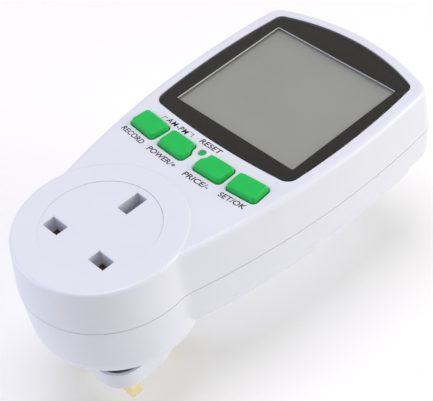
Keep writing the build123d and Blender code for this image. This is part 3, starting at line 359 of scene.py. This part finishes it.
class MeterStage(bpy.types.PropertyGroup):
    """Camera, lights and floor."""
    turn: FloatProperty(name="Turn", description="Camera direction round the meter", subtype="ANGLE",
                        default=radians(52.333))
    tilt: FloatProperty(name="Tilt", description="Camera height as an angle", subtype="ANGLE",
                        default=radians(44.707))
    roll: FloatProperty(name="Roll", description="Camera roll", subtype="ANGLE", default=radians(-8.392))
    distance: FloatProperty(name="Distance", description="Camera to target", unit="LENGTH",
                            default=429.5 * MM)
    lens: FloatProperty(name="Focal length", description="Focal length on a 36 mm sensor, in mm",
                        default=115.39)
    floor: FloatVectorProperty(name="Floor", description="Floor colour", subtype="COLOR",
                               default=linear("#F6F6F6"), min=0, max=1)
    glow: FloatProperty(name="Floor glow", description="Light the floor gives off", default=0.1, min=0)
    surround: FloatProperty(name="Surround", description="Strength of the white surround", default=0.39,
                            min=0)
    top_power: FloatProperty(name="Top box", description="Power of the box overhead", default=4.8, min=0)
    left_power: FloatProperty(name="Left box", description="Power of the low left box", default=3.3, min=0)
    right_power: FloatProperty(name="Right box", description="Power of the low right box", default=4.8,
                               min=0)


# ------------------------------------------------------------------ operators
class METER_OT_case(bpy.types.Operator):
    """Finish the two case halves and the plug block"""
    bl_idname = "meter.case"
    bl_label = "Case"

    def execute(self, context):
        dress("shell", "plug")
        return {"FINISHED"}


class METER_OT_pins(bpy.types.Operator):
    """Finish the brass pins and their sleeves"""
    bl_idname = "meter.pins"
    bl_label = "Pins"

    def execute(self, context):
        dress("pin_brass", "sleeve")
        return {"FINISHED"}


class METER_OT_socket(bpy.types.Operator):
    """Finish the socket insert, its shutter and the contacts below"""
    bl_idname = "meter.socket"
    bl_label = "Socket"

    def execute(self, context):
        dress("insert", "shutter", "spring", "carrier", "contact")
        return {"FINISHED"}


class METER_OT_display(bpy.types.Operator):
    """Finish the window, its border and the liquid crystal display"""
    bl_idname = "meter.display"
    bl_label = "Display"

    def execute(self, context):
        dress("lens", "lcd", "frame_plastic", "zebra")
        film("display_border", "display_mask", FILM_GAP * MM)
        return {"FINISHED"}


class METER_OT_keys(bpy.types.Operator):
    """Finish the silicone keys, webs, mat and pills"""
    bl_idname = "meter.keys"
    bl_label = "Keys"

    def execute(self, context):
        dress("key_rubber", "pill")
        return {"FINISHED"}


class METER_OT_electronics(bpy.types.Operator):
    """Finish both boards, their components and the leads"""
    bl_idname = "meter.electronics"
    bl_label = "Electronics"

    def execute(self, context):
        dress("board", "chip", "can", "shunt", "film_cap", "can_sleeve", "varistor", "diode", "resistor",
              "wrap", "header", "header_metal", "wire_brown", "wire_blue")
        return {"FINISHED"}


class METER_OT_screws(bpy.types.Operator):
    """Finish the screws"""
    bl_idname = "meter.screws"
    bl_label = "Screws"

    def execute(self, context):
        dress("screw")
        return {"FINISHED"}


def film(name, stood_for, gap):
    """The printed film of a CAD node, thinner by gap at its front, so that it lies clear of the
    window above it."""
    node = frame["nodes"][stood_for]
    shape = bmesh.new()
    shape.from_mesh(node.data)
    bmesh.ops.transform(shape, matrix=node.matrix_world, verts=shape.verts[:])
    front = max(vertex.co.z for vertex in shape.verts)
    face = [vertex for vertex in shape.verts if vertex.co.z > front - gap]
    bmesh.ops.translate(shape, verts=face, vec=(0, 0, -gap))
    mesh = bpy.data.meshes.new(name)
    shape.to_mesh(mesh)
    shape.free()
    mesh.materials.clear()
    mesh.materials.append(case_materials.ready["mask"])
    made = bpy.data.objects.new(name, mesh)
    bpy.context.scene.collection.objects.link(made)
    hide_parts(stood_for)
    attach(made, "case")


def words(name, text, x, y, width, turn, spacing, settings, ink):
    """Thin printed words centred on x, y in millimetres, as wide as stated."""
    curve = bpy.data.curves.new(name + "_type", "FONT")
    curve.body = text
    curve.align_x, curve.align_y = "CENTER", "CENTER"
    curve.extrude, curve.shear, curve.offset = WORD_DEPTH, WORD_SLANT, WORD_SPREAD
    curve.space_character = spacing
    curve.resolution_u = WORD_CURVE_STEPS
    typed = bpy.data.objects.new(name + "_type", curve)
    bpy.context.scene.collection.objects.link(typed)
    bpy.context.view_layer.update()
    mesh = bpy.data.meshes.new_from_object(typed.evaluated_get(bpy.context.evaluated_depsgraph_get()))
    bpy.data.objects.remove(typed)
    low = Vector(min(v.co[i] for v in mesh.vertices) for i in range(3))
    high = Vector(max(v.co[i] for v in mesh.vertices) for i in range(3))
    size = high - low
    if min(size) <= 0:
        raise RuntimeError(name + " made no letters")
    scale = Matrix.Diagonal((width * MM / size.x, settings.height / size.y, settings.thickness / size.z, 1))
    middle = Vector((-(low.x + high.x) / 2, -(low.y + high.y) / 2, -low.z))
    spot = Matrix.Translation((x * MM, y * MM, PANEL_TOP)) @ Matrix.Rotation(turn, 4, "Z")
    mesh.transform(spot @ scale @ Matrix.Translation(middle))
    mesh.materials.clear()
    mesh.materials.append(ink)
    made = bpy.data.objects.new(name, mesh)
    bpy.context.scene.collection.objects.link(made)
    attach(made, "case")


def corner(name, x, y, side, turn, settings, ink):
    """A printed corner bracket beside the clock word; its angle is at x, y in millimetres."""
    arm, line = CORNER_ARM, CORNER_LINE
    outline = ((0, 0), (side * arm, 0), (side * arm, -line), (side * line, -line), (side * line, -arm),
               (0, -arm))
    shape = bmesh.new()
    face = shape.faces.new([shape.verts.new((px * MM, py * MM, 0)) for px, py in outline])
    grown = bmesh.ops.extrude_face_region(shape, geom=[face])
    tops = [item for item in grown["geom"] if isinstance(item, bmesh.types.BMVert)]
    bmesh.ops.translate(shape, verts=tops, vec=(0, 0, settings.thickness))
    bmesh.ops.recalc_face_normals(shape, faces=shape.faces[:])
    spot = Matrix.Translation((x * MM, y * MM, PANEL_TOP)) @ Matrix.Rotation(turn, 4, "Z")
    bmesh.ops.transform(shape, matrix=spot, verts=shape.verts[:])
    mesh = bpy.data.meshes.new(name)
    shape.to_mesh(mesh)
    shape.free()
    mesh.materials.append(ink)
    made = bpy.data.objects.new(name, mesh)
    bpy.context.scene.collection.objects.link(made)
    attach(made, "case")


class METER_OT_print(bpy.types.Operator):
    """Print the key words on the panel"""
    bl_idname = "meter.print_words"
    bl_label = "Printed words"

    def execute(self, context):
        settings = context.scene.meter_print
        ink = printed_ink("Pad_print_black", settings.ink)
        for name, text, x, y, width, spacing in (("print_record", "RECORD", -23.9, 43.5, 11.1, 1.0),
                                                 ("print_power", "POWER/+", -8.8, 42.5, 13.4, 1.0),
                                                 ("print_price", "PRICE/-", 7.8, 42.3, 11.1, 1.0),
                                                 ("print_set", "SET/OK", 23.0, 43.5, 10.7, 1.0),
                                                 ("print_clock", "AM-PM", CLOCK_X, 55.9, 10.2, 1.16),
                                                 ("print_reset", "RESET", 0.2, 56.2, 9.6, 1.0)):
            words(name, text, x, y, width, x / WORD_BOW, spacing, settings, ink)
        for name, x, side in (("print_corner_left", -22.6, 1), ("print_corner_right", -8.2, -1)):
            corner(name, x, CORNER_Y, side, CLOCK_X / WORD_BOW, settings, ink)
        return {"FINISHED"}


class METER_OT_stage(bpy.types.Operator):
    """Set the floor, the lights and the camera"""
    bl_idname = "meter.stage"
    bl_label = "Stage"

    def execute(self, context):
        settings = context.scene.meter_stage
        target = Vector((19.64, 40.14, 48.3)) * MM
        self.floor(settings, CAD_BOX[0][2])
        self.camera(context, settings, target)
        self.lights(context, settings)
        return {"FINISHED"}

    def floor(self, settings, level):
        """A wide pale floor under the pins."""
        bpy.ops.mesh.primitive_plane_add(size=FLOOR_SIZE, location=(0, 0, level - FLOOR_GAP))
        floor = bpy.context.object
        floor.name = "floor"
        material, tree, shader, place = begin("Paper_white", Roughness=0.9, Emission_Color=(1, 1, 1, 1),
                                              Emission_Strength=settings.glow)
        fibre = mottle(tree, place, 3 * MM)
        finish(tree, shader, tint(tree, fibre, shade(settings.floor, 0.99), shade(settings.floor, 1.0)))
        floor.data.materials.append(material)

    def camera(self, context, settings, target):
        """The camera looks at the target, turned, tilted and rolled."""
        back = Vector((sin(settings.turn) * cos(settings.tilt), -cos(settings.turn) * cos(settings.tilt),
                       sin(settings.tilt)))
        level = Vector((cos(settings.turn), sin(settings.turn), 0))
        up = back.cross(level)
        right = cos(settings.roll) * level + sin(settings.roll) * up
        top = back.cross(right)
        data = bpy.data.cameras.new("camera")
        data.lens, data.sensor_width = settings.lens, 36.0
        data.clip_start, data.clip_end = 0.01, 20.0
        camera = bpy.data.objects.new("camera", data)
        turned = Matrix((right, top, back)).transposed().to_4x4()
        camera.matrix_world = Matrix.Translation(target + back * settings.distance) @ turned
        context.scene.collection.objects.link(camera)
        context.scene.camera = camera

    def lights(self, context, settings):
        """Soft boxes overhead and low on both sides, and an even surround."""
        world = bpy.data.worlds.new("Surround")
        world.use_nodes = True
        backdrop = world.node_tree.nodes["Background"].inputs
        backdrop["Color"].default_value = (1.0, 0.97, 0.91, 1)
        backdrop["Strength"].default_value = settings.surround
        context.scene.world = world
        aim = Vector((0, 50, 30)) * MM
        for name, turn, height, colour, power in (
                ("box_top", 0.0, radians(90), (0.92, 0.89, 1.0), settings.top_power),
                ("box_left", radians(225), LOW_BOX_TILT, (0.75, 0.8, 1.0), settings.left_power),
                ("box_right", radians(45), LOW_BOX_TILT, (1.0, 0.98, 0.85), settings.right_power)):
            data = bpy.data.lights.new(name, "AREA")
            data.size, data.energy, data.color = BOX_SIZE, power, colour
            way = Vector((cos(turn) * cos(height), sin(turn) * cos(height), sin(height)))
            light = bpy.data.objects.new(name, data)
            light.location = aim + way * BOX_AWAY
            light.rotation_euler = way.to_track_quat("Z", "Y").to_euler()
            context.scene.collection.objects.link(light)
        context.scene.view_settings.view_transform = "Standard"


class METER_PT_panel(bpy.types.Panel):
    """Lists the meter's pieces"""
    bl_idname = "METER_PT_panel"
    bl_label = "Power meter"
    bl_space_type = "VIEW_3D"
    bl_region_type = "UI"
    bl_category = "Meter"

    def draw(self, context):
        for group in (context.scene.meter_look, context.scene.meter_print, context.scene.meter_stage):
            for name in type(group).__annotations__:
                self.layout.prop(group, name)
        for operator in OPERATORS:
            self.layout.operator(operator.bl_idname)


OPERATORS = (METER_OT_case, METER_OT_pins, METER_OT_socket, METER_OT_display, METER_OT_keys,
             METER_OT_electronics, METER_OT_screws, METER_OT_print, METER_OT_stage)
CLASSES = (MeterLook, MeterPrint, MeterStage) + OPERATORS + (METER_PT_panel,)


def register():
    """Adds the classes and the settings."""
    for made in CLASSES:
        bpy.utils.register_class(made)
    bpy.types.Scene.meter_look = PointerProperty(type=MeterLook)
    bpy.types.Scene.meter_print = PointerProperty(type=MeterPrint)
    bpy.types.Scene.meter_stage = PointerProperty(type=MeterStage)


def unregister():
    """Removes what register added."""
    del bpy.types.Scene.meter_look, bpy.types.Scene.meter_print, bpy.types.Scene.meter_stage
    for made in reversed(CLASSES):
        bpy.utils.unregister_class(made)


def main():
    """Makes the meter in order."""
    register()
    case_materials.ready = case_materials(bpy.context.scene.meter_look)
    bpy.ops.meter.case()
    bpy.ops.meter.pins()
    bpy.ops.meter.socket()
    bpy.ops.meter.display()
    bpy.ops.meter.keys()
    bpy.ops.meter.electronics()
    bpy.ops.meter.screws()
    bpy.ops.meter.print_words()
    bpy.ops.meter.stage()


if __name__ == "__main__":
    main()
